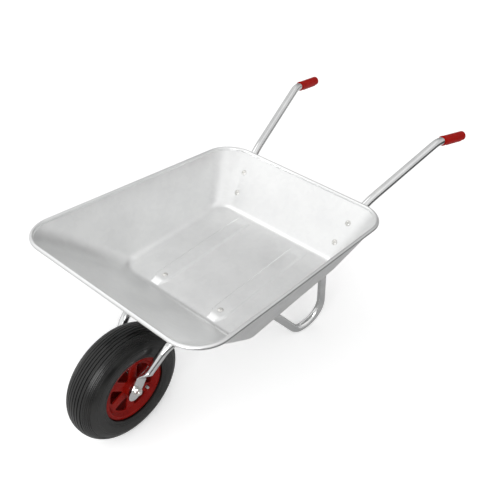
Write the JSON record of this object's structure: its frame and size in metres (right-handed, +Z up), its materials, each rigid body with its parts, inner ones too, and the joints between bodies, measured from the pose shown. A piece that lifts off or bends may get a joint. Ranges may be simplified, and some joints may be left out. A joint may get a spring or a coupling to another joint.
{
  "type": "wheelbarrow",
  "caption": "Wheelbarrow with a pressed steel tray on two bent tubes, rubber grips and a pneumatic wheel that turns on an axle between the tube ends.",
  "frame": {"origin": "on the ground under the middle of the barrow's length and width, the barrow standing on its wheel and legs", "axes": "+X towards the wheel, +Y to the left of the person who pushes, +Z up"},
  "size_m": [1.4245, 0.6688, 0.533],
  "materials": {
    "galvanised_sheet": "galvanised, satin with faint spangle",
    "steel_wire": "drawn wire",
    "steel_tube": "zinc plated, satin",
    "zinc_plated": "bright zinc",
    "red_rubber": "satin moulded",
    "red_plastic": "moulded, semi-gloss",
    "bush_plastic": "moulded",
    "tyre_rubber": "satin rubber",
    "tube_rubber": "matt rubber",
    "brass": "machined",
    "cap_plastic": "moulded"
  },
  "bodies": {
    "frame": {"tray": "galvanised_sheet", "rim_wire": "steel_wire", "tube_left": "steel_tube", "tube_right": "steel_tube", "grip_left": "red_rubber", "grip_right": "red_rubber", "tray_bolts": "zinc_plated", "tray_washers": "zinc_plated", "tray_nuts": "zinc_plated", "axle": "zinc_plated", "axle_sleeve": "steel_tube", "axle_washers": "zinc_plated", "axle_nuts": "zinc_plated"},
    "wheel": {"wheel_rim": "red_plastic", "hub_bushes": "bush_plastic", "tyre": "tyre_rubber", "inner_tube": "tube_rubber", "valve_stem": "brass", "valve_nut": "brass", "valve_core": "brass", "valve_cap": "cap_plastic"}
  },
  "joints": [
    {"name": "wheel_spin", "type": "hinge", "parent": "frame", "child": "wheel", "pos_m": [0.54, 0, 0.172], "axis": [0, 1, 0], "continuous": true}
  ]
}
